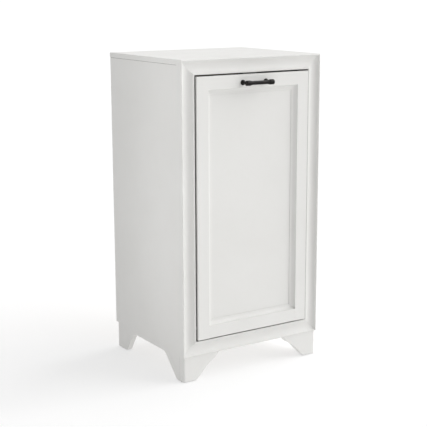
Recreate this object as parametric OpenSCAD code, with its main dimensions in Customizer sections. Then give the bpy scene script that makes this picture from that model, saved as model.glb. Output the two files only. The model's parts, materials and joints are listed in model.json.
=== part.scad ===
// Free-standing tilt-out waste cabinet: a painted wooden carcass on bracket feet, a coved
// face frame, and a frame-and-panel door that tilts out on pivot pins and carries a lift-out bin.
// Millimetres, +Z up. Every module is drawn with y = 0 at the face frame's front face and is
// moved back by placed(), so that the origin is on the floor at the centre of the whole footprint.

/* [Cabinet] */
// Width over the face frame
body_w = 460; // [450:5:500]
// Height from the floor to the top face
body_h = 890; // [880:5:940]
// Depth from the face frame's front to the back edges
body_d = 400; // [390:5:430]
// Thickness of the side panels and the bottom panel
board_t = 15; // [14:1:18]
// Thickness of the top panel
top_t = 14; // [13:1:18]
// Thickness of the back panel
back_t = 5; // [4:1:6]
// Distance from the face frame's outer edge in to the side panel's outer face
side_inset = 1.2; // [0.5:0.1:2]
// Width of the groove where a side panel meets the face frame, twice that under the top
quirk_w = 1.6; // [0.8:0.1:2]

/* [Face frame] */
// Width of each face frame member
face_w = 41.5; // [40:0.5:44]
// Thickness of the face frame
face_t = 25; // [22:1:28]
// Depth of the cove in the face frame
cove_depth = 9.5; // [7:0.5:10]

/* [Base] */
// Height of the face frame's bottom edge above the floor
base_h = 73; // [68:1:78]
// Distance that the front feet stand back from the face frame's front face
foot_recess = 4; // [2:1:6]
// Width of a foot where it meets the floor
foot_w = 41; // [36:1:46]
// Height of the side panels' arch above the floor
arch_h = 66; // [58:1:67]
// Width of a foot and its bracket at the top of the arch
bracket_w = 106; // [100:1:116]
// Depth of the notch behind the rear feet that clears a skirting board
skirting_notch = 14; // [10:1:18]

/* [Door] */
// Gap round the door at the top and sides
door_gap = 4; // [3:0.5:4.5]
// Gap under the door
sill_gap = 4; // [3.5:0.5:5]
// Thickness of the door
door_t = 20; // [19:1:21]
// Distance that the door's face stands proud of the face frame
door_proud = 4; // [3:0.5:5]
// Width of the flat part of the door's stiles and rails
rail_flat = 36.5; // [35:0.5:38]
// Width of the moulding along the inner edge of the stiles and rails
stick_w = 15; // [14:0.5:16]
// Depth of the door panel's face below the door's face
panel_recess = 12; // [11:0.5:12.5]
// Thickness of the door panel
panel_t = 5.6; // [5:0.1:5.8]
// Opening angle at which the quadrant stays stop the door
tilt_max = 30; // [22:1:30]

/* [Pull] */
// Distance between the centres of the pull's two posts
pull_pitch = 76.2; // [64:0.1:80]
// Length of the pull's bar
pull_len = 92; // [90:1:120]
// Distance from the door's face to the centre line of the bar
pull_reach = 26.5; // [25:0.5:30]
// Distance from the door's top edge down to the pull
pull_drop = 22; // [20:1:24]

/* [Waste bin] */
// Height of the waste bin
bin_h = 599; // [500:1:599]
// Width of the waste bin over its rim
bin_w = 320; // [300:1:324]
// Depth of the waste bin over its rim
bin_d = 258; // [230:1:258]
// Wall thickness of the waste bin
bin_wall = 2.4; // [2:0.1:3]

/* [Hidden] */

eps = 0.5;               // overshoot of every cutting shape
small_fn = 32;           // facets of small round pieces
arc_steps = 16;          // straight steps in a moulded curve
glide_h = 2;             // floor glides lift the wood off the floor
bulb_r = 7.2;            // swollen ends of the pull's bar

half_w = body_w / 2;
side_x = half_w - side_inset;          // side panel's outer face
inner_x = side_x - board_t;            // side panel's inner face
front_y = -(body_d - door_proud - pull_reach - bulb_r) / 2;   // centres the footprint on y = 0
top_z = body_h - top_t;                // underside of the top panel
bottom_z = base_h + 7;                 // underside of the bottom panel
back_inset = 2;                        // the back panel lies this far inside the back edges
back_y = body_d - back_t - back_inset; // front face of the back panel
rabbet = 8;                            // the back panel's seat in the sides and the top

open_x = half_w - face_w;              // half the width of the face frame's opening
open_z0 = base_h + face_w;
open_z1 = body_h - face_w;

door_x = open_x - door_gap;            // half the door's width
door_z0 = open_z0 + sill_gap;
door_z1 = open_z1 - door_gap;
door_y0 = -door_proud;                 // door's face
door_y1 = door_y0 + door_t;            // door's back
groove = 8;                            // depth of the groove that holds the door panel
groove_t = panel_t + 0.4;
dowel_r = 4;
dowel_half = 15;

pivot_y = 10;                          // pivot axis behind the face frame's front
pivot_z = door_z0 + 34;
pin_r = 3;
bush_clearance = 0.05;
bush_r = 5;
bush_len = 15;

stay_r = 300;                          // radius of the quadrant stays about the pivot
stay_t = 2.5;
stay_h = 12;
stay_x = 184;                          // inner face of a stay, for the standard opening
stay_shift = open_x - 188.5;           // keeps the stays beside a wider opening's edge
guide_t = 2;
stop_r = 6;

pull_z = door_z1 - pull_drop;
pull_y = door_y0 - pull_reach;
post_r = 3.2;
screw_r = 2;

cheek_t = 12;
cheek_x = 178 + stay_shift;            // outer face of a bin cheek
shelf_z = door_z0 + 5.5;               // underside of the bin shelf
shelf_t = 12;
carrier_y1 = 290;                      // back edge of the cheeks
bin_play = 0.3;                        // the bin stands this far above the shelf
bin_z = shelf_z + shelf_t + bin_play;
bin_y = 24 + bin_d / 2;                // centre of the bin, front to back

paint = "Ivory";
inside = "BurlyWood";

module placed() { translate([0, front_y, 0]) children(); }

function unit(v) = v / norm(v);

// Points of an arc of radius r about c, from angle a by d degrees.
function arc(c, r, a, d, n = arc_steps) =
    [for (i = [0:n]) c + r * [cos(a + d * i / n), sin(a + d * i / n)]];

// Arc of radius r that rounds the corner b between a and c.
function fillet(a, b, c, r, n = 8) =
    let (u = unit(a - b), w = unit(c - b), half = acos(u * w) / 2,
         p = b + u * r / tan(half), q = b + w * r / tan(half),
         m = b + unit(u + w) * r / sin(half),
         start = atan2(p[1] - m[1], p[0] - m[0]),
         turn = (atan2(q[1] - m[1], q[0] - m[0]) - start + 540) % 360 - 180)
    arc(m, r, start, turn, n);

// Arc from p to q whose middle lies sag to the left of the line from p to q.
function sagged(p, q, sag, n = arc_steps) =
    let (d = norm(q - p), r = d * d / (8 * sag) + sag / 2, along = unit(q - p),
         left = [-along[1], along[0]], c = (p + q) / 2 + left * (sag - r),
         start = atan2(p[1] - c[1], p[0] - c[0]),
         turn = (atan2(q[1] - c[1], q[0] - c[0]) - start + 540) % 360 - 180)
    arc(c, r, start, turn, n);

// A prism whose outline lies in the XZ plane, from y0 to y1.
module xz_prism(points, y0, y1) {
    translate([0, y1, 0]) rotate([90, 0, 0]) linear_extrude(y1 - y0) polygon(points);
}

// A prism whose outline lies in the YZ plane, from x0 to x1.
module yz_prism(points, x0, x1) {
    translate([x0, 0, 0]) rotate([90, 0, 90]) linear_extrude(x1 - x0) polygon(points);
}

// A block between two corners.
module block(low, high) { translate(low) cube(high - low); }

module both_sides() {
    children();
    mirror([1, 0, 0]) children();
}

// A round bar of radius r along X from x0 to x1.
module rod_x(r, x0, x1) {
    translate([x0, 0, 0]) rotate([0, 90, 0]) cylinder(r = r, h = x1 - x0, $fn = small_fn);
}

// A round bar of radius r along Y from y0 to y1.
module rod_y(r, y0, y1) {
    translate([0, y0, 0]) rotate([-90, 0, 0]) cylinder(r = r, h = y1 - y0, $fn = small_fn);
}

// A pan-head screw that points along -Z with its head's seat at z = 0.
module pan_screw(head_r, head_h, shank_r, length) {
    translate([0, 0, -length]) cylinder(r = shank_r, h = length, $fn = small_fn);
    cylinder(r = head_r, h = head_h, $fn = small_fn);
}

// ---------------------------------------------------------------- carcass fastenings

cam_r = 7.5;
cam_h = 11;
cam_inset = 26;
cam_ys = [70, body_d - 70];

// Cams that lock the top panel sit in the side panels, and those of the bottom panel in its underside.
module at_top_cams() {
    both_sides() for (y = cam_ys) translate([inner_x, y, top_z - cam_inset]) rotate([0, 90, 0]) children();
}
module at_bottom_cams() {
    both_sides() for (y = cam_ys) translate([inner_x - cam_inset, y, bottom_z]) children();
}
module at_top_bolts() {
    both_sides() for (y = cam_ys) translate([side_x - board_t / 2, y, top_z]) children();
}
module at_bottom_bolts() {
    both_sides() for (y = cam_ys)
        translate([inner_x, y, bottom_z + board_t / 2]) rotate([0, 90, 0]) children();
}
bolt_r = 3;
bolt_bite = 8;

// The hole that leads a bolt to its cam.
module bolt_hole() translate([0, 0, -cam_inset]) cylinder(r = bolt_r, h = cam_inset + eps, $fn = small_fn);

back_screw_l = 12;
module at_back_screws() {
    both_sides() for (i = [0:3])
        translate([half_w - 14, back_y + back_t, base_h + 40 + i * (body_h - base_h - 80) / 3])
            rotate([-90, 0, 0]) children();
    for (x = [-110, 110])
        translate([x, back_y + back_t, bottom_z + board_t / 2]) rotate([-90, 0, 0]) children();
}

wall_hole_r = 2.75;
wall_hole_x = 100;
module wall_holes() {
    both_sides() translate([wall_hole_x, 0, top_z - 30]) rod_y(wall_hole_r, back_y - 20 - eps, body_d + eps);
}

// ---------------------------------------------------------------- carcass

module top_panel() color(paint) placed() difference() {
    block([-half_w, face_t, top_z], [half_w, body_d, body_h]);
    block([-half_w + rabbet, back_y, top_z - eps], [half_w - rabbet, body_d + eps, body_h - rabbet + 2]);
    at_top_bolts() translate([0, 0, -eps]) cylinder(r = bolt_r, h = bolt_bite + eps, $fn = small_fn);
}

rear_foot_y = body_d - skirting_notch;
arch_mid = [body_d / 2, arch_h];
front_toe = [foot_w, glide_h];
rear_toe = [rear_foot_y - foot_w - 12, glide_h];
front_haunch = [bracket_w, arch_h];
rear_haunch = [rear_foot_y - bracket_w + 10, arch_h];
haunch_r = 30;
toe_r = 12;              // rounds a foot's inner bottom corner

// Outline of a side panel: bracket feet at the front and back with an arch between them.
side_outline = concat(
    [[face_t, glide_h]],
    fillet([face_t, glide_h], front_toe, front_haunch, toe_r, 6),
    fillet(front_toe, front_haunch, arch_mid, haunch_r),
    fillet(arch_mid, rear_haunch, rear_toe, haunch_r),
    fillet(rear_haunch, rear_toe, [rear_foot_y, glide_h], toe_r, 6),
    [[rear_foot_y, glide_h], [rear_foot_y, base_h + 3],
     [body_d, base_h + 3], [body_d, top_z], [face_t, top_z]]);

// A side panel is grooved along its front and top edges, so that each joint shows as a shadow line.
quirk_depth = 3;
module side_panel() difference() {
    yz_prism(side_outline, inner_x, side_x);
    block([side_x - quirk_depth, face_t - eps, base_h], [side_x + eps, face_t + quirk_w, top_z + eps]);
    block([side_x - quirk_depth / 2, face_t - eps, top_z - quirk_w / 2],
          [side_x + eps, body_d + eps, top_z + eps]);
    block([inner_x - eps, back_y, bottom_z - 2], [half_w - rabbet, body_d + eps, top_z + eps]);
    at_top_cams() translate([0, 0, -eps]) cylinder(r = cam_r, h = cam_h + eps, $fn = small_fn);
    at_top_bolts() bolt_hole();
    at_bottom_bolts() cylinder(r = bolt_r, h = bolt_bite, $fn = small_fn);
    at_back_screws() translate([0, 0, -back_screw_l]) cylinder(r = screw_r, h = back_screw_l, $fn = small_fn);
}

module left_side_panel() color(paint) placed() mirror([1, 0, 0]) side_panel();
module right_side_panel() color(paint) placed() side_panel();

module bottom_panel() color(inside) placed() difference() {
    block([-inner_x, face_t, bottom_z], [inner_x, back_y, bottom_z + board_t]);
    at_bottom_cams() translate([0, 0, -eps]) cylinder(r = cam_r, h = cam_h + eps, $fn = small_fn);
    at_bottom_bolts() bolt_hole();
    at_back_screws() translate([0, 0, -back_screw_l]) cylinder(r = screw_r, h = back_screw_l, $fn = small_fn);
}

module back_panel() color(inside) placed() difference() {
    block([-half_w + rabbet + 0.3, back_y, bottom_z - 2],
          [half_w - rabbet - 0.3, back_y + back_t, body_h - rabbet + 1.7]);
    at_back_screws() translate([0, 0, -back_screw_l])
        cylinder(r = screw_r, h = back_screw_l + eps, $fn = small_fn);
    wall_holes();
}

module rear_top_rail() color(inside) placed() difference() {
    block([-inner_x, back_y - 20, top_z - 60], [inner_x, back_y, top_z]);
    wall_holes();
}

cleat_h = 13;
module bottom_cleats() color(inside) placed() both_sides()
    block([inner_x - 14, face_t + 5, bottom_z - cleat_h], [inner_x, rear_foot_y, bottom_z]);

module back_panel_screws() color("Silver") placed() at_back_screws() pan_screw(3.4, 1.6, screw_r, back_screw_l);

// A cam lock with a crossed driver slot in its face.
module cam() difference() {
    cylinder(r = cam_r, h = cam_h, $fn = small_fn);
    for (turn = [0, 90]) rotate(turn) translate([-4, -0.6, -eps]) cube([8, 1.2, 3]);
}
module cam_locks() color("Silver") placed() {
    at_top_cams() cam();
    at_bottom_cams() cam();
}

// The bolt that a cam pulls on.
module bolt() translate([0, 0, cam_r - cam_inset])
    cylinder(r = bolt_r, h = cam_inset - cam_r + bolt_bite, $fn = small_fn);
module cam_bolts() color("Silver") placed() {
    at_top_bolts() bolt();
    at_bottom_bolts() bolt();
}

// ---------------------------------------------------------------- face frame

// Section of a face frame member: x runs from its outer edge to its inner edge, and y from
// its front to its back. A rounded outer land, a cove and a narrow lip beside the door.
land_w = 3.2;
lip_w = 3.8;
lip_drop = 0.8;
face_section = concat(
    [[0, face_t]], arc([1.6, 1.6], 1.6, 180, 90, 4), [[land_w, 0]],
    sagged([land_w, 0.4], [face_w - lip_w, lip_drop], cove_depth),
    arc([face_w - 1, lip_drop + 1], 1, -90, 90, 4),
    [[face_w, face_t]]);
face_h = body_h - base_h;

module face_stile() difference() {
    intersection() {
        translate([-half_w, 0, base_h]) linear_extrude(face_h) polygon(face_section);
        xz_prism([[-half_w, base_h], [-open_x, open_z0], [-open_x, open_z1], [-half_w, body_h]],
                 -eps, face_t + eps);
    }
    mirror([1, 0, 0]) {
        hinge_plate_seat();
        at_hinge_screws() rod_x(1.5, 0, hinge_screw_l);
        at_guide_screws() translate([0, -guide_screw_l, 0]) rod_y(1.5, 0, guide_screw_l);
    }
}

module frame_left_stile() color(paint) placed() face_stile();
module frame_right_stile() color(paint) placed() mirror([1, 0, 0]) face_stile();

module frame_top_rail() color(paint) placed() difference() {
    intersection() {
        translate([-half_w, 0, body_h]) rotate([0, 90, 0]) linear_extrude(body_w) polygon(face_section);
        xz_prism([[-half_w, body_h], [half_w, body_h], [open_x, open_z1], [-open_x, open_z1]],
                 -eps, face_t + eps);
    }
    at_catch_screws() translate([0, -catch_screw_l, 0]) rod_y(1.5, 0, catch_screw_l);
}

module frame_bottom_rail() color(paint) placed() intersection() {
    translate([half_w, 0, base_h]) rotate([0, -90, 0]) linear_extrude(body_w) polygon(face_section);
    xz_prism([[-half_w, base_h], [half_w, base_h], [open_x, open_z0], [-open_x, open_z0]],
             -eps, face_t + eps);
}

// ---------------------------------------------------------------- feet

// Outline of a front foot, x from its outer edge: an S curve leads up to the face frame.
foot_a = [foot_w + 3, glide_h];
foot_b = [84, 44];
foot_c = [105, 55];
foot_d = [118, base_h];
foot_outline = concat(
    [[side_inset, base_h], [side_inset, glide_h]], fillet([side_inset, glide_h], foot_a, foot_b, toe_r, 6),
    fillet(foot_a, foot_b, foot_c, 60, 8), fillet(foot_b, foot_c, foot_d, 50, 8), [foot_d]);

// A foot's upright outer corner is rounded in plan.
foot_corner_r = 7;
foot_plan = concat(
    [[side_inset, face_t]],
    arc([side_inset + foot_corner_r, foot_recess + foot_corner_r], foot_corner_r, 180, 90, 10),
    [[foot_d[0] + eps, foot_recess], [foot_d[0] + eps, face_t]]);

module front_foot() translate([-half_w, 0, 0]) intersection() {
    xz_prism(foot_outline, foot_recess - eps, face_t);
    linear_extrude(base_h) polygon(foot_plan);
}
module front_left_foot() color(paint) placed() front_foot();
module front_right_foot() color(paint) placed() mirror([1, 0, 0]) front_foot();

corner_leg = 25;
module foot_corner_blocks() color(inside) placed() both_sides() {
    translate([inner_x, face_t, 14]) linear_extrude(arch_h - 15)
        polygon([[0, 0], [-corner_leg, 0], [0, corner_leg]]);
    translate([inner_x, rear_foot_y, 14]) linear_extrude(arch_h - 15)
        polygon([[0, 0], [-corner_leg, 0], [0, -corner_leg]]);
}

glide_r = 6.5;
module at_glides() both_sides() {
    translate([side_x - board_t / 2, foot_recess + 14, 0]) children();
    translate([side_x - board_t / 2, rear_foot_y - 20, 0]) children();
}
module floor_glides() color("DimGray") placed() at_glides() cylinder(r = glide_r, h = glide_h, $fn = small_fn);

// ---------------------------------------------------------------- pivot hinges

plate_t = 2;
plate_half = 20;
hinge_screw_l = 12;

module hinge_plate_seat() block([open_x - eps, face_t - 20, pivot_z - plate_half],
                                [open_x + plate_t, face_t + eps, pivot_z + plate_half]);
module at_hinge_screws() for (dz = [-13, 13])
    translate([open_x + plate_t, face_t - 9, pivot_z + dz]) children();

module hinge_plate() {
    difference() {
        block([open_x, face_t - 20, pivot_z - plate_half], [open_x + plate_t, face_t, pivot_z + plate_half]);
        at_hinge_screws() rod_x(1.5, -plate_t - eps, eps);
    }
    translate([0, pivot_y, pivot_z]) rod_x(pin_r, door_x - bush_len + 1.4, open_x);
}
module left_hinge_plate() color("Silver") placed() mirror([1, 0, 0]) hinge_plate();
module right_hinge_plate() color("Silver") placed() hinge_plate();
module hinge_plate_screws() color("Silver") placed() both_sides() at_hinge_screws() {
    rod_x(1.5, -plate_t, hinge_screw_l);
    translate([-plate_t, 0, 0]) rod_x(2.8, -1.4, 0);
}

// ---------------------------------------------------------------- magnetic catch

catch_half = 22;
catch_z0 = open_z1 - 17;
catch_y0 = door_y1 + 1.8;
catch_screw_l = 12;
magnet_t = 4;

module at_catch_screws() for (x = [-14, 14]) translate([x, face_t, open_z1 + 14]) children();

module catch_housing() color("WhiteSmoke") placed() difference() {
    union() {
        block([-catch_half, face_t, open_z1 - 1], [catch_half, face_t + 5, open_z1 + 24]);
        block([-catch_half, catch_y0, catch_z0], [catch_half, face_t + 5, open_z1 - 1]);
    }
    block([-16, catch_y0 - eps, catch_z0 + 3], [16, catch_y0 + magnet_t, open_z1 - 4]);
    at_catch_screws() rod_y(1.5, -eps, 5 + eps);
}
module catch_magnet() color("DimGray") placed()
    block([-16, catch_y0 - 0.3, catch_z0 + 3], [16, catch_y0 + magnet_t, open_z1 - 4]);
module catch_screws() color("Silver") placed() at_catch_screws() {
    rod_y(1.5, -catch_screw_l, 5);
    translate([0, 5, 0]) rod_y(3, 0, 1.8);
}

// ---------------------------------------------------------------- door stops

stop_z0 = door_z1 - 150;
stop_z1 = door_z1 - 12;
bumper_t = 2;
module door_stops() color(paint) placed() both_sides()
    block([open_x - 8, door_y1 + bumper_t + 0.3, stop_z0], [open_x, face_t + 6, stop_z1]);
module door_bumpers() color("DimGray") placed() both_sides() for (z = [stop_z0 + 15, stop_z1 - 15])
    translate([open_x - 5, door_y1 + bumper_t + 0.3, z]) rod_y(3, -bumper_t, 0);

// ---------------------------------------------------------------- quadrant stays

stay_y0 = guide_t + face_t;
stop_turn = tilt_max + asin((stay_y0 - pivot_y + stop_r + 0.3) / stay_r);

// The flat ring sector, centred on the pivot, that slides through the guide.
module stay_arc(t, h, from, to) {
    points = concat(
        [for (i = [0:24]) let (a = from + (to - from) * i / 24) (stay_r - h / 2) * [sin(a), cos(a)]],
        [for (i = [24:-1:0]) let (a = from + (to - from) * i / 24) (stay_r + h / 2) * [sin(a), cos(a)]]);
    translate([0, pivot_y, pivot_z]) yz_prism(points, 0, t);
}

tab_half = 13;
stay_tab_t = 2;
module at_stay_screws() for (x = [-6, -17])
    translate([stay_x + stay_shift + x, door_y1, pivot_z + stay_r]) children();

module quadrant_stay() {
    first = asin((door_y1 + stay_tab_t / 2 - pivot_y) / stay_r);
    translate([stay_x + stay_shift, 0, 0]) {
        stay_arc(stay_t, stay_h, first, stop_turn + 2);
        translate([0, pivot_y + stay_r * sin(stop_turn), pivot_z + stay_r * cos(stop_turn)])
            rod_x(stop_r, stay_t, stay_t + 2);
        translate([0, pivot_y + stay_r * sin(stop_turn), pivot_z + stay_r * cos(stop_turn)])
            rod_x(stop_r, -2, 0);
    }
    difference() {
        block([stay_x + stay_shift - 24, door_y1, pivot_z + stay_r - tab_half],
              [stay_x + stay_shift + stay_t, door_y1 + stay_tab_t, pivot_z + stay_r + tab_half]);
        at_stay_screws() rod_y(1.8, -eps, stay_tab_t + eps);
    }
}
module left_quadrant_stay() color("Silver") placed() mirror([1, 0, 0]) quadrant_stay();
module right_quadrant_stay() color("Silver") placed() quadrant_stay();
module stay_screws() color("Silver") placed() both_sides() at_stay_screws() {
    rod_y(1.8, -12, stay_tab_t);
    translate([0, stay_tab_t, 0]) rod_y(3.2, 0, 1.6);
}

guide_screw_l = 12;
slot_play = 0.5;
guide_turn = asin((face_t + guide_t / 2 - pivot_y) / stay_r);
guide_z = pivot_z + stay_r * cos(guide_turn);
module at_guide_screws() for (dz = [-15, 15]) translate([open_x + 16, face_t, guide_z + dz]) children();

module stay_guide() difference() {
    block([stay_x + stay_shift - 2.8, face_t, guide_z - 24], [open_x + 24, face_t + guide_t, guide_z + 24]);
    translate([stay_x + stay_shift - slot_play, 0, 0])
        stay_arc(stay_t + 2 * slot_play, stay_h + 2 * slot_play, 1.5, 6);
    at_guide_screws() rod_y(1.5, -eps, guide_t + eps);
}
module left_stay_guide() color("Silver") placed() mirror([1, 0, 0]) stay_guide();
module right_stay_guide() color("Silver") placed() stay_guide();
module stay_guide_screws() color("Silver") placed() both_sides() at_guide_screws() {
    rod_y(1.5, -guide_screw_l, guide_t);
    translate([0, guide_t, 0]) rod_y(3, 0, 1.6);
}

// ---------------------------------------------------------------- door

// Section of a stile or rail, x from its outer edge and y from its face: a flat, a cove that
// is steep beside the flat, a small bead, and the groove that holds the panel.
bead_w = 3;
bead_y = panel_recess - 1.4;
cove_r = (pow(stick_w - bead_w, 2) + pow(bead_y - 1, 2)) / (2 * (bead_y - 1));
rail_w = rail_flat + stick_w;
door_section = concat(
    [[0, door_t]], arc([1.5, 1.5], 1.5, 180, 90, 4), [[rail_flat, 0]],
    let (c = [rail_w - bead_w, bead_y - cove_r], a = atan2(1 - c[1], rail_flat - c[0]))
        arc(c, cove_r, a, 90 - a),
    arc([rail_w - 1, bead_y + 1], 1, -90, 90, 4),
    [[rail_w, panel_recess - 0.2], [rail_w - groove, panel_recess - 0.2],
     [rail_w - groove, panel_recess - 0.2 + groove_t], [rail_w, panel_recess - 0.2 + groove_t],
     [rail_w, door_t]]);
door_h = door_z1 - door_z0;

module at_dowels() both_sides() for (dz = [10, 27])
    for (z = [door_z0 + dz, door_z1 - dz])
        translate([door_x - rail_flat, door_y0 + door_t / 2, z]) children();

module door_stile() difference() {
    intersection() {
        translate([-door_x, door_y0, door_z0]) linear_extrude(door_h) polygon(door_section);
        translate([-door_x, 0, door_z0]) xz_prism([
            [0, 0], [rail_flat, 0], [rail_flat, rail_flat], [rail_w, rail_w], [rail_w, door_h - rail_w],
            [rail_flat, door_h - rail_flat], [rail_flat, door_h], [0, door_h]], door_y0 - eps, door_y1 + eps);
    }
    at_dowels() rod_x(dowel_r, -dowel_half, dowel_half);
    mirror([1, 0, 0]) {
        translate([0, pivot_y, pivot_z]) rod_x(bush_r, door_x - bush_len, door_x + eps);
        at_stay_screws() rod_y(1.8, -12, eps);
        at_cheek_screws() rod_y(cheek_screw_r, -14, eps);
    }
}
module door_left_stile() color(paint) placed() door_stile();
module door_right_stile() color(paint) placed() mirror([1, 0, 0]) door_stile();

module door_rail() intersection() {
    translate([door_x, door_y0, 0]) rotate([0, -90, 0]) linear_extrude(2 * door_x) polygon(door_section);
    xz_prism([[-door_x + rail_flat, 0], [door_x - rail_flat, 0], [door_x - rail_flat, rail_flat],
              [door_x - rail_w, rail_w], [-door_x + rail_w, rail_w], [-door_x + rail_flat, rail_flat]],
             door_y0 - eps, door_y1 + eps);
}
module door_bottom_rail() color(paint) placed() difference() {
    translate([0, 0, door_z0]) door_rail();
    at_dowels() rod_x(dowel_r, -dowel_half, dowel_half);
}
module door_top_rail() color(paint) placed() difference() {
    translate([0, 0, door_z1]) mirror([0, 0, 1]) door_rail();
    at_dowels() rod_x(dowel_r, -dowel_half, dowel_half);
    at_posts() rod_y(screw_r + 0.2, door_y0 - eps, door_y1 + eps);
    at_strike_screws() rod_y(1.5, -8, eps);
}

panel_margin = rail_w - groove + 0.5;
module door_panel() color(paint) placed()
    block([-door_x + panel_margin, door_y0 + panel_recess, door_z0 + panel_margin],
          [door_x - panel_margin, door_y0 + panel_recess + panel_t, door_z1 - panel_margin]);

module door_dowels() color(inside) placed() at_dowels() rod_x(dowel_r, -dowel_half + 0.5, dowel_half - 0.5);

flange_t = 1.4;
module hinge_bush() translate([0, pivot_y, pivot_z]) difference() {
    union() {
        rod_x(bush_r, door_x - bush_len, door_x);
        rod_x(bush_r + 2, door_x, door_x + flange_t);
    }
    rod_x(pin_r + bush_clearance, door_x - bush_len + 0.9, door_x + flange_t + eps);
}
module left_hinge_bush() color("White") placed() mirror([1, 0, 0]) hinge_bush();
module right_hinge_bush() color("White") placed() hinge_bush();

// ---------------------------------------------------------------- pull

module at_posts() both_sides() translate([pull_pitch / 2, 0, pull_z]) children();

// Half of the bar's outline, (radius, distance from the middle): a slim middle that swells, past
// a turned ridge, into a round-ended barrel over the post.
bar_r = 5.4;
end_r = 3;
bar_half = concat(
    [[bar_r, pull_pitch / 2 - 15], [bulb_r - 1, pull_pitch / 2 - 8],
     [bulb_r - 1.6, pull_pitch / 2 - 7], [bulb_r, pull_pitch / 2 - 5.5]],
    arc([bulb_r - end_r, pull_len / 2 - end_r], end_r, 0, 90, 6),
    [[0, pull_len / 2]]);

module pull_bar() color("DarkSlateGray") placed() difference() {
    translate([0, pull_y, pull_z]) rotate([0, 90, 0]) rotate_extrude($fn = 48) polygon(concat(
        [for (i = [len(bar_half) - 1:-1:0]) [bar_half[i][0], -bar_half[i][1]]], bar_half));
    at_posts() rod_y(post_r, pull_y + 1, door_y0);
}

rosette_r = 7.2;
module pull_post() difference() {
    translate([pull_pitch / 2, 0, pull_z]) rotate([90, 0, 0]) translate([0, 0, -door_y0])
        rotate_extrude($fn = 48) polygon(concat(
            [[0, 0], [rosette_r, 0], [rosette_r, 1.6]],
            arc([rosette_r - 2.4, 1.6], 2.4, 0, 70, 5),
            sagged([4.2, 4.4], [post_r, 9], 0.4, 5),
            [[post_r, pull_reach - 1], [0, pull_reach - 1]]));
    at_posts() rod_y(screw_r, door_y0 - 12, door_y0 + eps);
}
module pull_left_post() color("DarkSlateGray") placed() mirror([1, 0, 0]) pull_post();
module pull_right_post() color("DarkSlateGray") placed() pull_post();
module pull_screws() color("Silver") placed() at_posts() {
    rod_y(screw_r, door_y0 - 11, door_y1);
    translate([0, door_y1, 0]) rod_y(4, 0, 2.2);
}

// ---------------------------------------------------------------- strike plate

strike_z = (catch_z0 + open_z1 - 1) / 2;
module at_strike_screws() for (x = [-12, 12]) translate([x, door_y1, strike_z]) children();
module catch_strike_plate() color("Silver") placed() difference() {
    block([-18, door_y1, strike_z - 5.5], [18, door_y1 + 1.2, strike_z + 4]);
    at_strike_screws() rod_y(1.5, -eps, 1.2 + eps);
}
module strike_screws() color("Silver") placed() at_strike_screws() rod_y(1.5, -8, 1.2);

// ---------------------------------------------------------------- bin carrier

cheek_screw_r = 2;
cheek_z1 = door_z0 + 305;
module at_cheek_screws() for (z = [shelf_z + 60, cheek_z1 - 30])
    translate([cheek_x - cheek_t / 2, door_y1, z]) children();

cheek_outline = concat(
    [[door_y1, shelf_z], [carrier_y1, shelf_z], [carrier_y1, shelf_z + 78]],
    fillet([carrier_y1, shelf_z + 78], [carrier_y1 - 80, shelf_z + 110], [door_y1 + 60, cheek_z1], 60),
    fillet([carrier_y1 - 80, shelf_z + 110], [door_y1 + 60, cheek_z1 - 30], [door_y1 + 40, cheek_z1], 20),
    [[door_y1 + 40, cheek_z1], [door_y1, cheek_z1]]);

module bin_cheek() difference() {
    yz_prism(cheek_outline, cheek_x - cheek_t, cheek_x);
    at_cheek_screws() rod_y(cheek_screw_r, -eps, 30);
}
module left_bin_cheek() color(inside) placed() mirror([1, 0, 0]) bin_cheek();
module right_bin_cheek() color(inside) placed() bin_cheek();
module bin_shelf() color(inside) placed()
    block([-cheek_x + cheek_t, door_y1, shelf_z], [cheek_x - cheek_t, carrier_y1, shelf_z + shelf_t]);
module bin_back_rail() color(inside) placed()
    block([-cheek_x + cheek_t, carrier_y1 - 5, shelf_z + shelf_t],
          [cheek_x - cheek_t, carrier_y1, shelf_z + shelf_t + 60]);
module cheek_screws() color("Silver") placed() both_sides() at_cheek_screws() rod_y(cheek_screw_r, -14, 30);

// ---------------------------------------------------------------- waste bin

corner_r = 34;
rim_h = 14;
rim_out = 6;
foot_taper = 40;
// A slab with rounded corners, w wide and d deep, from z to z + h.
module rounded_slab(w, d, r, z, h) translate([0, bin_y, bin_z + z]) linear_extrude(h)
    hull() for (x = [-1, 1], y = [-1, 1])
        translate([x * (w / 2 - r), y * (d / 2 - r)]) circle(r = r, $fn = small_fn);

// The tapered tub, drawn in by t on every side.
module tub(t, z0, z1) hull() {
    rounded_slab(bin_w - 2 * rim_out - foot_taper - 2 * t, bin_d - 2 * rim_out - foot_taper * 0.8 - 2 * t,
                 corner_r - t, z0, 0.01);
    rounded_slab(bin_w - 2 * rim_out - 2 * t, bin_d - 2 * rim_out - 2 * t, corner_r - t, z1 - 0.01, 0.01);
}

module waste_bin() color("LightGray") placed() difference() {
    union() {
        tub(0, 0, bin_h);
        rounded_slab(bin_w, bin_d, corner_r + rim_out, bin_h - 3, 3);
        difference() {
            rounded_slab(bin_w, bin_d, corner_r + rim_out, bin_h - rim_h, rim_h);
            rounded_slab(bin_w - 2 * bin_wall, bin_d - 2 * bin_wall, corner_r + rim_out - bin_wall,
                         bin_h - rim_h - eps, rim_h);
        }
    }
    tub(bin_wall, bin_wall, bin_h + 1);
}

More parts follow.
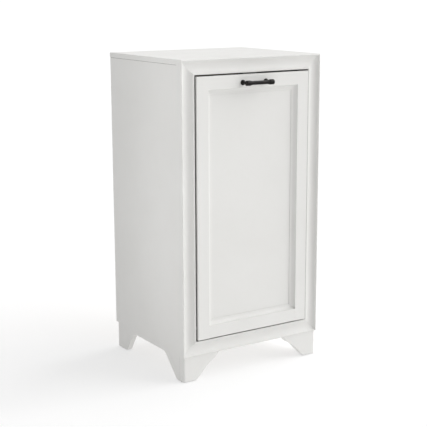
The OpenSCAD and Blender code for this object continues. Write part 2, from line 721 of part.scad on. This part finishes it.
top_panel();
left_side_panel();
right_side_panel();
bottom_panel();
back_panel();
rear_top_rail();
bottom_cleats();
frame_left_stile();
frame_right_stile();
frame_top_rail();
frame_bottom_rail();
front_left_foot();
front_right_foot();
foot_corner_blocks();
floor_glides();
cam_locks();
cam_bolts();
back_panel_screws();
left_hinge_plate();
right_hinge_plate();
hinge_plate_screws();
catch_housing();
catch_magnet();
catch_screws();
door_stops();
door_bumpers();
left_stay_guide();
right_stay_guide();
stay_guide_screws();
door_left_stile();
door_right_stile();
door_top_rail();
door_bottom_rail();
door_panel();
door_dowels();
left_hinge_bush();
right_hinge_bush();
pull_bar();
pull_left_post();
pull_right_post();
pull_screws();
catch_strike_plate();
strike_screws();
left_quadrant_stay();
right_quadrant_stay();
stay_screws();
left_bin_cheek();
right_bin_cheek();
bin_shelf();
bin_back_rail();
cheek_screws();
waste_bin();
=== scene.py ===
"""Looks for the tilt-out waste bin cabinet: painted wood outside, plywood and steel inside.

Every wooden, metal and plastic part starts from its CAD node, so sizes and places come from the
frame. Small hardware and the bin are built here in finer detail and stand in for their nodes.
All lengths are in metres.
"""
import json
import math

import bmesh
import bpy
from mathutils import Matrix, Vector


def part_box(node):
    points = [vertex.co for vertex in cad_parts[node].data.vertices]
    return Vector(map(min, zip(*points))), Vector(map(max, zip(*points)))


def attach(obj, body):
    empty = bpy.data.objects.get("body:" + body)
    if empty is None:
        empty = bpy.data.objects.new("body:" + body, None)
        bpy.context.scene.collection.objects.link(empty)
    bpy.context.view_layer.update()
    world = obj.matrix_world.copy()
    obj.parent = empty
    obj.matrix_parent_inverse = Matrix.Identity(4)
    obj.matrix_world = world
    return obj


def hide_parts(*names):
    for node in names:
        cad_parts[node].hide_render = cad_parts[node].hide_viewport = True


MM = 0.001

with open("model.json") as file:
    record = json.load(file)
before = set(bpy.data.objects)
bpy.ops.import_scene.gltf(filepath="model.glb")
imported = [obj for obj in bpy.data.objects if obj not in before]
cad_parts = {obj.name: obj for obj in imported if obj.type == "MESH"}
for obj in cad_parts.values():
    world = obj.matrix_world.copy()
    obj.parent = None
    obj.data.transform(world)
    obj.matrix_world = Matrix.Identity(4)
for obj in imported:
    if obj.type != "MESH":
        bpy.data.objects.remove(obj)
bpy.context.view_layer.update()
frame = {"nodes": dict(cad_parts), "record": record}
NODE_BODY = {node: body for body, nodes in frame["record"]["behaviour"]["bodies"].items() for node in nodes}


# ------------------------------------------------------------------ material nodes

class Recipe:
    """A material under construction: one Principled shader and the nodes that feed it."""

    def __init__(self, name, roughness=0.5, metallic=0.0, **sockets):
        self.material = bpy.data.materials.new(name)
        self.material.use_nodes = True
        self.tree = self.material.node_tree
        self.shader = self.tree.nodes["Principled BSDF"]
        self.shader.inputs["Roughness"].default_value = roughness
        self.shader.inputs["Metallic"].default_value = metallic
        for socket, value in sockets.items():
            self.shader.inputs[socket.replace("_", " ")].default_value = value
        self.place = self.add("TexCoord").outputs["Object"]

    def add(self, kind, **settings):
        node = self.tree.nodes.new("ShaderNode" + kind)
        for key, value in settings.items():
            setattr(node, key, value)
        return node

    def feed(self, node, **inputs):
        for name, value in inputs.items():
            socket = node.inputs[name.replace("_", " ")]
            if isinstance(value, bpy.types.NodeSocket):
                self.tree.links.new(value, socket)
            else:
                socket.default_value = value
        return node

    def stretched(self, scale):
        """Object coordinates multiplied by scale, so that a pattern runs long along one axis."""
        return self.feed(self.add("Mapping"), Vector=self.place, Scale=scale).outputs["Vector"]

    def noise(self, scale, detail=3.0, rough=0.55, place=None, distortion=0.0):
        node = self.add("TexNoise")
        self.feed(node, Vector=place or self.place, Scale=scale, Detail=detail, Roughness=rough,
                  Distortion=distortion)
        return node.outputs["Fac"]

    def ramp(self, value, *stops):
        """Colours or greys blended by value; each stop is (position, colour)."""
        node = self.feed(self.add("ValToRGB"), Fac=value)
        while len(node.color_ramp.elements) < len(stops):
            node.color_ramp.elements.new(0.5)
        for element, (position, colour) in zip(node.color_ramp.elements, stops):
            element.position = position
            element.color = (*colour, 1.0) if isinstance(colour, tuple) else (colour, colour, colour, 1.0)
        return node.outputs["Color"]

    def blend(self, factor, first, second, mode="MIX"):
        node = self.add("Mix", data_type="RGBA", blend_type=mode)
        for socket, value in ((node.inputs[0], factor), (node.inputs[6], first), (node.inputs[7], second)):
            if isinstance(value, bpy.types.NodeSocket):
                self.tree.links.new(value, socket)
            else:
                socket.default_value = (*value, 1.0) if isinstance(value, tuple) else value
        return node.outputs[2]

    def math(self, operation, first, second):
        node = self.add("Math", operation=operation)
        for socket, value in zip(node.inputs, (first, second)):
            if isinstance(value, bpy.types.NodeSocket):
                self.tree.links.new(value, socket)
            else:
                socket.default_value = value
        return node.outputs[0]

    def shaded_crevices(self, colour, shade_colour, reach, strength):
        """Colour blended towards a dark painted-shade colour, up to strength, where surfaces within reach
        close in: painted shade in crevices and gaps.
        """
        open_sky = self.feed(self.add("AmbientOcclusion", samples=8), Distance=reach).outputs["AO"]
        closed = self.ramp(open_sky, (0.36, strength), (0.58, 0.0))
        return self.blend(closed, colour, shade_colour)

    def colour(self, value):
        self.feed(self.shader, Base_Color=value)

    def roughness(self, value, low, high):
        self.feed(self.shader, Roughness=self.ramp(value, (0.3, low), (0.7, high)))

    def bumps(self, *layers):
        """Bump layers on top of each other; each is (height, depth in metres, strength)."""
        normal = None
        for height, depth, strength in layers:
            node = self.feed(self.add("Bump"), Height=height, Distance=depth, Strength=strength)
            if normal:
                self.feed(node, Normal=normal)
            normal = node.outputs["Normal"]
        self.feed(self.shader, Normal=normal)


AXES = {"x": 0, "y": 1, "z": 2}
PLY = 2.4 * MM
CREVICE = 6 * MM
WHITEWASH = 0.88


def along(axis, long_scale, cross_scale):
    scale = [cross_scale] * 3
    scale[AXES[axis]] = long_scale
    return scale


def paint(axis):
    """Smooth off-white satin paint over wood whose grain runs along axis."""
    r = Recipe("paint_" + axis, roughness=0.42)
    tone = r.ramp(r.noise(3.5, 4, 0.6), (0.3, (0.722, 0.717, 0.697)), (0.7, (0.752, 0.748, 0.730)))
    specks = r.ramp(r.noise(160, 2), (0.32, 1.0), (0.42, 0.0))
    tone = r.blend(r.math("MULTIPLY", specks, 0.05), tone, (0.62, 0.60, 0.55))
    # painted shade: the paint darkens to near black in gaps and crevices within CREVICE reach
    r.colour(r.shaded_crevices(tone, (0.05, 0.046, 0.038), CREVICE, 0.97))
    r.roughness(r.noise(38, 4), 0.36, 0.50)
    grain = r.noise(1.0, 5, 0.6, r.stretched(along(axis, 9, 330)))
    peel = r.noise(620, 2, 0.4)
    strokes = r.noise(1.0, 3, 0.5, r.stretched(along(axis, 2.5, 90)))
    r.bumps((strokes, 0.10 * MM, 0.5), (grain, 0.05 * MM, 0.5), (peel, 0.04 * MM, 0.5))
    return r.material


def plywood(axis, thin, wash=0.0):
    """Birch plywood: face grain along axis and plies stacked along thin, under a white wash if any."""
    r = Recipe("plywood_%s_%s" % (axis, thin), roughness=0.5)
    wave = r.noise(1.0, 6, 0.62, r.stretched(along(axis, 3.2, 48)), 1.2)
    streak = r.noise(1.0, 3, 0.5, r.stretched(along(axis, 14, 520)))
    face = r.ramp(wave, (0.25, (0.50, 0.345, 0.20)), (0.5, (0.63, 0.465, 0.295)),
                  (0.75, (0.71, 0.555, 0.375)))
    face = r.blend(r.math("MULTIPLY", streak, 0.35), face, (0.42, 0.27, 0.15))
    height = r.add("SeparateXYZ")
    r.feed(height, Vector=r.place)
    ply = r.math("SINE", r.math("MULTIPLY", height.outputs[AXES[thin]], math.tau / PLY), 0.0)
    plies = r.ramp(ply, (0.15, (0.36, 0.235, 0.13)), (0.55, (0.66, 0.50, 0.33)))
    end_grain = r.blend(r.math("MULTIPLY", r.noise(900, 3), 0.5), plies, (0.45, 0.31, 0.18))
    facing = r.add("SeparateXYZ")
    r.feed(facing, Vector=r.add("NewGeometry").outputs["Normal"])
    across = r.math("ABSOLUTE", facing.outputs[AXES[thin]], 0.0)
    edge = r.math("LESS_THAN", across, 0.6)
    bare = r.blend(edge, face, end_grain)
    if wash:
        thickness = r.ramp(wave, (0.3, wash - 0.08), (0.7, wash + 0.04))
        bare = r.blend(thickness, bare, (0.78, 0.775, 0.76))
    r.colour(bare)
    r.roughness(wave, 0.42, 0.58)
    r.bumps((wave, 0.12 * MM, 0.4), (streak, 0.06 * MM, 0.6))
    return r.material


def hardboard():
    """Pressed fibre board: mottled brown with short fibres and a fine screen print."""
    r = Recipe("hardboard", roughness=0.62)
    fibres = r.noise(1.0, 4, 0.7, r.stretched((210, 210, 90)), 2.5)
    cloud = r.noise(7, 4)
    tone = r.ramp(fibres, (0.3, (0.285, 0.185, 0.105)), (0.7, (0.40, 0.275, 0.165)))
    r.colour(r.blend(r.math("MULTIPLY", cloud, 0.4), tone, (0.47, 0.345, 0.22)))
    r.roughness(fibres, 0.5, 0.72)
    r.bumps((fibres, 0.15 * MM, 0.5), (r.noise(1400, 1), 0.06 * MM, 0.5))
    return r.material


def beech():
    """Bare beech with small dark flecks."""
    r = Recipe("beech", roughness=0.55)
    grain = r.noise(1.0, 5, 0.6, r.stretched((18, 300, 300)))
    fleck = r.ramp(r.noise(1.0, 1, 0.4, r.stretched((160, 900, 900))), (0.6, 0.0), (0.68, 1.0))
    tone = r.ramp(grain, (0.3, (0.60, 0.42, 0.26)), (0.7, (0.74, 0.56, 0.38)))
    r.colour(r.blend(fleck, tone, (0.42, 0.26, 0.14)))
    r.bumps((grain, 0.1 * MM, 0.5))
    return r.material


def zinc():
    """Bright zinc plate: faint spangle, with a bluish and a straw tone."""
    r = Recipe("zinc_plate", roughness=0.33, metallic=1.0)
    spangle = r.noise(240, 4, 0.6, None, 0.8)
    cloud = r.noise(30, 3)
    tone = r.ramp(cloud, (0.3, (0.60, 0.62, 0.66)), (0.7, (0.70, 0.68, 0.62)))
    r.colour(r.blend(r.math("MULTIPLY", spangle, 0.3), tone, (0.47, 0.47, 0.48)))
    r.roughness(spangle, 0.24, 0.44)
    r.bumps((r.noise(1900, 2), 0.02 * MM, 0.5))
    return r.material


def bronze():
    """Dark rubbed bronze: near black, with brown where hands and edges have rubbed it."""
    r = Recipe("dark_bronze", roughness=0.34, metallic=0.85)
    cloud = r.noise(85, 4, 0.6)
    rubbed = r.ramp(cloud, (0.48, 0.0), (0.72, 1.0))
    tone = r.blend(rubbed, (0.014, 0.013, 0.013), (0.036, 0.029, 0.025))
    r.colour(r.blend(r.math("MULTIPLY", r.noise(900, 2), 0.35), tone, (0.009, 0.009, 0.009)))
    r.roughness(r.noise(260, 3), 0.28, 0.46)
    r.bumps((r.noise(700, 3), 0.04 * MM, 0.5))
    return r.material


def moulded(name, light, dark, rough, grain_scale=1500.0):
    """Moulded plastic with a fine spark-eroded grain."""
    r = Recipe(name, roughness=rough)
    tone = r.ramp(r.noise(9, 3), (0.3, dark), (0.7, light))
    # painted shade: the plastic darkens where surfaces close in, within CREVICE reach
    r.colour(r.shaded_crevices(tone, tuple(c * 0.6 for c in dark), CREVICE, 0.5))
    r.roughness(r.noise(120, 3), rough - 0.06, rough + 0.08)
    r.bumps((r.noise(grain_scale, 2), 0.05 * MM, 0.6), (r.noise(22, 2), 0.2 * MM, 0.25))
    return r.material


def ferrite():
    """Pressed ferrite: charcoal, granular and matt."""
    r = Recipe("ferrite", roughness=0.7, metallic=0.2)
    grit = r.noise(2200, 3)
    r.colour(r.ramp(grit, (0.3, (0.045, 0.045, 0.05)), (0.7, (0.095, 0.095, 0.1))))
    r.bumps((grit, 0.05 * MM, 0.6))
    return r.material


PAINT = {axis: paint(axis) for axis in AXES}
ZINC = zinc()
BRONZE = bronze()
NYLON = moulded("white_nylon", (0.80, 0.80, 0.775), (0.73, 0.73, 0.70), 0.42)
RUBBER = moulded("soft_rubber", (0.62, 0.62, 0.60), (0.50, 0.50, 0.48), 0.66, 2600.0)
GLIDE = moulded("glide_nylon", (0.20, 0.19, 0.18), (0.14, 0.135, 0.13), 0.5)
BIN_PLASTIC = moulded("bin_plastic", (0.50, 0.51, 0.52), (0.44, 0.45, 0.46), 0.44, 1300.0)


# ------------------------------------------------------------------ pieces from CAD nodes

SHARP = math.radians(38)
BEVEL_FROM = math.radians(32)
THREAD_PITCH = 1.1 * MM
THREAD_SIDES = 20
LATHE_SIDES = 40
PAINTED_EDGE = 0.45 * MM
DOOR_EDGE = 0.8 * MM
BOARD_EDGE = 0.5 * MM
STEEL_EDGE = 0.15 * MM


def finish_piece(mesh_source, name, node, material):
    """Makes an object of a bmesh, frees the bmesh, and puts the object in the place of a CAD node."""
    mesh = bpy.data.meshes.new(name)
    mesh_source.to_mesh(mesh)
    mesh_source.free()
    mesh.shade_smooth()
    mesh.set_sharp_from_angle(angle=SHARP)
    mesh.materials.append(material)
    piece = bpy.data.objects.new(name, mesh)
    bpy.context.scene.collection.objects.link(piece)
    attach(piece, NODE_BODY[node])
    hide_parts(node)
    return piece


def cad_bmesh(node):
    """The CAD node's surface with its seams joined and its flat faces made whole."""
    work = bmesh.new()
    work.from_mesh(frame["nodes"][node].data)
    bmesh.ops.remove_doubles(work, verts=work.verts, dist=0.002 * MM)
    bmesh.ops.dissolve_limit(work, angle_limit=math.radians(0.4), verts=work.verts, edges=work.edges)
    return work


def refine(node, material, edge=0.0, segments=3):
    """Stands in for a CAD node with the same shape, its edges eased by a small round inside its box."""
    work = cad_bmesh(node)
    if edge:
        bmesh.ops.recalc_face_normals(work, faces=work.faces)
        chosen = [e for e in work.edges if len(e.link_faces) == 2 and e.is_convex
                  and e.calc_face_angle() > BEVEL_FROM]
        bmesh.ops.bevel(work, geom=chosen, offset=edge, segments=segments, profile=0.5,
                        affect="EDGES", clamp_overlap=True, loop_slide=True)
    low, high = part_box(node)
    for vert in work.verts:
        vert.co = Vector([min(max(v, a), b) for v, a, b in zip(vert.co, low, high)])
    piece = finish_piece(work, node + ".finished", node, material)
    weighted = piece.modifiers.new("weighted", "WEIGHTED_NORMAL")
    weighted.keep_sharp = True


def islands(node):
    """The boxes of a CAD node's separate solids, as (low corner, high corner)."""
    work = cad_bmesh(node)
    left = set(work.verts)
    boxes = []
    while left:
        grown = [left.pop()]
        group = []
        while grown:
            vert = grown.pop()
            group.append(vert.co.copy())
            for linked in vert.link_edges:
                other = linked.other_vert(vert)
                if other in left:
                    left.discard(other)
                    grown.append(other)
        low = Vector([min(p[i] for p in group) for i in range(3)])
        high = Vector([max(p[i] for p in group) for i in range(3)])
        boxes.append((low, high))
    work.free()
    return sorted(boxes, key=lambda b: tuple(round(v, 5) for v in b[0]))


def turned(work, profile, place, axis, segments):
    """Adds a lathe-turned form: profile is (radius, height) pairs, and heights run along axis from place."""
    turn = Vector((0, 0, 1)).rotation_difference(Vector(axis)).to_matrix()
    rings = []
    for radius, height in profile:
        if radius < 1e-9:
            rings.append([work.verts.new(place + turn @ Vector((0, 0, height)))])
            continue
        rings.append([work.verts.new(place + turn @ Vector((
            radius * math.cos(math.tau * i / segments), radius * math.sin(math.tau * i / segments), height)))
            for i in range(segments)])
    for lower, upper in zip(rings, rings[1:]):
        for i in range(segments):
            j = (i + 1) % segments
            corners = [lower[i % len(lower)], lower[j % len(lower)],
                       upper[j % len(upper)], upper[i % len(upper)]]
            work.faces.new(list(dict.fromkeys(corners)))


def cross_recess(work, place, axis, radius, height, sink):
    """Adds a domed screw head with a cross-shaped recess."""
    turn = Vector((0, 0, 1)).rotation_difference(Vector(axis)).to_matrix()
    rings = 16
    segments = 48
    arm_width = radius * 0.13
    arm_reach = radius * 0.58

    def top(x, y):
        out = math.hypot(x, y) / radius
        dome = height * math.sqrt(max(0.0, 1 - 0.72 * out ** 2.4))
        near = min(max(abs(x) / arm_reach, abs(y) / arm_width), max(abs(y) / arm_reach, abs(x) / arm_width))
        slope = min(1.0, max(0.0, (1.18 - near) / 0.36))
        return dome - sink * slope * slope * (3 - 2 * slope)

    centre = work.verts.new(place + turn @ Vector((0, 0, top(0, 0))))
    previous = [centre]
    for ring in range(1, rings + 1):
        r = radius * ring / rings
        current = []
        for i in range(segments):
            x = r * math.cos(math.tau * i / segments)
            y = r * math.sin(math.tau * i / segments)
            current.append(work.verts.new(place + turn @ Vector((x, y, top(x, y)))))
        for i in range(segments):
            j = (i + 1) % segments
            corners = [previous[i % len(previous)], current[i], current[j], previous[j % len(previous)]]
            work.faces.new(list(dict.fromkeys(corners)))
        previous = current
    skirt = [work.verts.new(place + turn @ Vector((
        radius * math.cos(math.tau * i / segments), radius * math.sin(math.tau * i / segments), 0)))
        for i in range(segments)]
    for i in range(segments):
        j = (i + 1) % segments
        work.faces.new([previous[i], skirt[i], skirt[j], previous[j]])
    work.faces.new(skirt)


def screws(node, axis, head_radius, head_height, thread_radius):
    """Threaded screws with crossed heads in place of a node's plain ones; axis points out of the head."""
    work = bmesh.new()
    run = next(i for i in range(3) if axis[i])
    for low, high in islands(node):
        middle = (low + high) / 2
        tip, crown = (low, high) if axis[run] > 0 else (high, low)
        seat = middle.copy()
        seat[run] = crown[run] - axis[run] * head_height
        cross_recess(work, seat, axis, head_radius, head_height, head_height * 0.55)
        end = middle.copy()
        end[run] = tip[run]
        length = (seat - end).length
        turns = int(length / THREAD_PITCH)
        profile = [(0.0, 0.0), (thread_radius * 0.35, 0.4 * MM)]
        for k in range(1, turns):
            height = length * k / turns
            profile.append((thread_radius * 0.72, height - 0.3 * MM))
            profile.append((thread_radius, height))
            profile.append((thread_radius * 0.72, height + 0.3 * MM))
        profile.append((thread_radius * 0.8, length))
        turned(work, profile + [(0.0, length)], end, axis, THREAD_SIDES)
    bmesh.ops.recalc_face_normals(work, faces=work.faces)
    finish_piece(work, node + ".finished", node, ZINC)


def lathe_group(node, axis, outline, material):
    """One turned form at each of a node's solids. outline(radius, height) gives its profile."""
    work = bmesh.new()
    run = next(i for i in range(3) if axis[i])
    side = (run + 1) % 3
    for low, high in islands(node):
        foot = (low + high) / 2
        foot[run] = low[run] if axis[run] > 0 else high[run]
        turned(work, outline((high[side] - low[side]) / 2, high[run] - low[run]), foot, axis, LATHE_SIDES)
    bmesh.ops.recalc_face_normals(work, faces=work.faces)
    finish_piece(work, node + ".finished", node, material)


def domed(radius, height):
    """A low rubber dome with a soft shoulder."""
    profile = [(0.0, 0.0), (radius, 0.0), (radius, height * 0.3)]
    for k in range(1, 7):
        turn = math.pi / 2 * k / 6
        profile.append((radius * math.cos(turn) if k < 6 else 0.0, height * (0.3 + 0.7 * math.sin(turn))))
    return profile


def glide(radius, height):
    """A floor glide: flat pad with a rounded rim and a dimple over its nail."""
    return [(0.0, height), (radius * 0.9, height), (radius, height * 0.75), (radius, height * 0.3),
            (radius * 0.9, 0.0), (radius * 0.3, 0.0), (radius * 0.22, height * 0.3), (0.0, height * 0.3)]


# ------------------------------------------------------------------ the waste bin

BIN_RIM_OUT = 6 * MM
BIN_WALL = 2.4 * MM
BIN_CORNER = 40 * MM
BIN_TAPER_X = 20 * MM
BIN_TAPER_Y = 16 * MM
BIN_CORNER_STEPS = 10


def bin_ring(low, high, inset, z):
    """A rounded rectangle, drawn in by inset and by the tub's taper below the rim."""
    height = high.z - low.z
    under = 1 - z / height
    half_x = (high.x - low.x) / 2 - inset - BIN_TAPER_X * under
    half_y = (high.y - low.y) / 2 - inset - BIN_TAPER_Y * under
    radius = max(3 * MM, BIN_CORNER - min(inset, BIN_RIM_OUT + BIN_WALL) - 4 * MM * under)
    centre = (low + high) / 2
    points = []
    for corner in range(4):
        sx = (1, -1, -1, 1)[corner]
        sy = (1, 1, -1, -1)[corner]
        for k in range(BIN_CORNER_STEPS + 1):
            turn = math.pi / 2 * (corner + k / BIN_CORNER_STEPS)
            points.append(Vector((
                centre.x + sx * (half_x - radius) + radius * math.cos(turn),
                centre.y + sy * (half_y - radius) + radius * math.sin(turn),
                low.z + z)))
    return points


def waste_bin():
    """A tapered tub with a recessed foot, a moulded ledge and a rolled rim."""
    node = "waste_bin"
    low, high = (Vector(v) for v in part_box(node))
    h = high.z - low.z
    wall = BIN_RIM_OUT
    inner = BIN_RIM_OUT + BIN_WALL
    ledge = h - 92 * MM
    profile = [
        (wall + 26 * MM, 3.0 * MM), (wall + 14 * MM, 3.0 * MM), (wall + 12 * MM, 0.4 * MM),
        (wall + 11 * MM, 0.0), (wall + 6 * MM, 0.0), (wall + 3 * MM, 0.7 * MM), (wall + 1 * MM, 2.6 * MM),
        (wall, 6 * MM), (wall, h * 0.25), (wall, h * 0.5), (wall, ledge - 6 * MM), (wall, ledge - 1.2 * MM),
        (wall - 0.6 * MM, ledge), (wall - 1.8 * MM, ledge + 1.4 * MM), (wall - 2.0 * MM, ledge + 3 * MM),
        (wall - 2.0 * MM, h - 6 * MM), (wall - 2.2 * MM, h - 4.4 * MM), (2.8 * MM, h - 4.2 * MM),
        (2.2 * MM, h - 4.8 * MM), (2.1 * MM, h - 12.6 * MM), (1.4 * MM, h - 13.6 * MM),
        (0.6 * MM, h - 13.4 * MM), (0.0, h - 12.4 * MM), (0.0, h - 4 * MM), (0.5 * MM, h - 1.8 * MM),
        (1.8 * MM, h - 0.5 * MM), (3.6 * MM, h), (5.6 * MM, h - 0.3 * MM),
        (inner - 1.6 * MM, h - 1.6 * MM), (inner - 1.0 * MM, h - 4 * MM),
        (inner - 1.2 * MM, ledge + 3 * MM), (inner, ledge - 1 * MM), (inner, h * 0.5),
        (inner, h * 0.25), (inner, 14 * MM), (inner + 1.5 * MM, 8 * MM), (inner + 5 * MM, 5.4 * MM),
        (inner + 10 * MM, 5 * MM), (inner + 40 * MM, 5 * MM),
    ]
    work = bmesh.new()
    rings = [[work.verts.new(p) for p in bin_ring(low, high, inset, z)] for inset, z in profile]
    count = len(rings[0])
    for lower, upper in zip(rings, rings[1:]):
        for i in range(count):
            j = (i + 1) % count
            work.faces.new([lower[i], lower[j], upper[j], upper[i]])
    work.faces.new(list(reversed(rings[0])))
    work.faces.new(rings[-1])
    bmesh.ops.recalc_face_normals(work, faces=work.faces)
    finish_piece(work, "waste_bin.moulded", node, BIN_PLASTIC)


# ------------------------------------------------------------------ build the pieces

for node, axis in {
    "left_side_panel": "z", "right_side_panel": "z", "top_panel": "x",
    "frame_left_stile": "z", "frame_right_stile": "z", "frame_top_rail": "x", "frame_bottom_rail": "x",
    "front_left_foot": "x", "front_right_foot": "x", "door_stops": "z",
    "door_left_stile": "z", "door_right_stile": "z", "door_top_rail": "x", "door_bottom_rail": "x",
    "door_panel": "z",
}.items():
    refine(node, PAINT[axis], edge=DOOR_EDGE if node.startswith("door_") else PAINTED_EDGE)

for node, (axis, thin) in {
    "rear_top_rail": ("x", "y"), "left_bin_cheek": ("z", "x"), "right_bin_cheek": ("z", "x"),
    "bin_shelf": ("x", "z"), "bin_back_rail": ("x", "y"),
}.items():
    refine(node, plywood(axis, thin), edge=BOARD_EDGE)

for node, (axis, thin) in {
    "bottom_panel": ("x", "z"), "bottom_cleats": ("y", "x"), "foot_corner_blocks": ("z", "y"),
}.items():
    refine(node, plywood(axis, thin, wash=WHITEWASH), edge=BOARD_EDGE)

refine("back_panel", hardboard())
refine("door_dowels", beech(), edge=0.6 * MM)
refine("catch_housing", NYLON, edge=BOARD_EDGE)
refine("catch_magnet", ferrite(), edge=0.2 * MM)
for node in ("left_hinge_bush", "right_hinge_bush"):
    refine(node, NYLON)
for node in ("pull_bar", "pull_left_post", "pull_right_post"):
    refine(node, BRONZE)
for node in ("left_hinge_plate", "right_hinge_plate", "left_stay_guide", "right_stay_guide",
             "left_quadrant_stay", "right_quadrant_stay", "catch_strike_plate", "cam_locks", "cam_bolts",
             "cheek_screws"):
    refine(node, ZINC, edge=STEEL_EDGE, segments=2)

screws("hinge_plate_screws", (-1, 0, 0), 2.8 * MM, 1.4 * MM, 1.5 * MM)
screws("catch_screws", (0, 1, 0), 3.0 * MM, 1.8 * MM, 1.5 * MM)
screws("stay_guide_screws", (0, 1, 0), 3.0 * MM, 1.6 * MM, 1.5 * MM)
screws("pull_screws", (0, 1, 0), 4.0 * MM, 2.2 * MM, 2.0 * MM)
screws("stay_screws", (0, 1, 0), 3.2 * MM, 1.6 * MM, 1.8 * MM)
refine("strike_screws", ZINC)
screws("back_panel_screws", (0, 1, 0), 3.4 * MM, 1.6 * MM, 2.0 * MM)

lathe_group("floor_glides", (0, 0, 1), glide, GLIDE)
lathe_group("door_bumpers", (0, -1, 0), domed, RUBBER)
waste_bin()


# ------------------------------------------------------------------ camera, floor and light

CAMERA_PLACE = (-1.6773, -2.5949, 1.0818)
CAMERA_YAW = 0.56974
CAMERA_PITCH = 0.20984
CAMERA_ROLL = -0.00376
CAMERA_SENSOR = 36.0
CAMERA_LENS = 90.68

camera = bpy.data.objects.new("camera", bpy.data.cameras.new("camera"))
camera.data.lens = CAMERA_LENS
camera.data.sensor_width = CAMERA_SENSOR
camera.matrix_world = (
    Matrix.Translation(CAMERA_PLACE)
    @ Matrix.Rotation(-CAMERA_YAW, 4, "Z")
    @ Matrix.Rotation(math.pi / 2 - CAMERA_PITCH, 4, "X")
    @ Matrix.Rotation(CAMERA_ROLL, 4, "Z")
)
bpy.context.scene.collection.objects.link(camera)
bpy.context.scene.camera = camera


def floor():
    """A plain pale floor, lit from below a little like a sweep of white acrylic."""
    r = Recipe("floor_white", roughness=0.9, Specular_IOR_Level=0.1, Emission_Color=(1, 1, 1, 1),
               Emission_Strength=FLOOR_GLOW)
    r.colour(r.ramp(r.noise(1.5, 2), (0.3, FLOOR_TONE - 0.005), (0.7, FLOOR_TONE + 0.005)))
    work = bmesh.new()
    bmesh.ops.create_circle(work, cap_ends=True, radius=120.0, segments=96)
    mesh = bpy.data.meshes.new("floor")
    work.to_mesh(mesh)
    work.free()
    mesh.materials.append(r.material)
    ground = bpy.data.objects.new("floor", mesh)
    bpy.context.scene.collection.objects.link(ground)


def towards(azimuth, elevation):
    """The direction to an azimuth (0 is the front, 90 the right) and elevation in degrees."""
    a, e = math.radians(azimuth), math.radians(elevation)
    return Vector((math.sin(a) * math.cos(e), -math.cos(a) * math.cos(e), math.sin(e)))


def lamp(name, kind, strength, direction, place=(0, 0, 0)):
    """A light that shines from direction; place matters only for a lamp that is near."""
    data = bpy.data.lights.new(name, kind)
    data.energy = strength
    source = bpy.data.objects.new(name, data)
    source.location = place
    source.rotation_mode = "QUATERNION"
    source.rotation_quaternion = direction.to_track_quat("Z", "Y")
    source.visible_camera = False
    bpy.context.scene.collection.objects.link(source)
    return data


def studio_world(middle, rightward, backward):
    """A plain pale surround that is brightest behind and to the right, like a white backdrop."""
    world = bpy.data.worlds.new("studio")
    world.use_nodes = True
    nodes, links = world.node_tree.nodes, world.node_tree.links
    direction = nodes.new("ShaderNodeTexCoord").outputs["Generated"]
    lean = nodes.new("ShaderNodeVectorMath")
    lean.operation = "DOT_PRODUCT"
    lean.inputs[1].default_value = (rightward, backward, 0)
    links.new(direction, lean.inputs[0])
    glow = nodes.new("ShaderNodeMath")
    glow.operation = "ADD"
    glow.inputs[1].default_value = middle
    links.new(lean.outputs["Value"], glow.inputs[0])
    links.new(glow.outputs[0], nodes["Background"].inputs["Strength"])
    nodes["Background"].inputs["Color"].default_value = (1, 1, 1, 1)
    bpy.context.scene.world = world


FLOOR_TONE = 0.41
FLOOR_GLOW = 0.58
KEY_STRENGTH = 1.15
FILL_PLACE = Vector((-0.80, -0.26, 0.52))
FILL_TARGET = Vector((-0.23, -0.10, 0.50))

floor()
for name, strength, azimuth, elevation, spread in (
    ("key", KEY_STRENGTH, 60, 38, 42),
    ("side_key", KEY_STRENGTH, 98, 36, 38),
    ("front", 1.12, 35, 10, 70),
    ("overhead", 0.05, 20, 84, 70),
):
    lamp(name, "SUN", strength, towards(azimuth, elevation)).angle = math.radians(spread)
fill = lamp("fill", "AREA", 0.39, FILL_PLACE - FILL_TARGET, FILL_PLACE)
fill.shape = "RECTANGLE"
fill.size = 0.3
fill.size_y = 1.3
fill.spread = math.radians(70)
studio_world(0.545, 0.28, 0.33)
bpy.context.scene.view_settings.view_transform = "Standard"
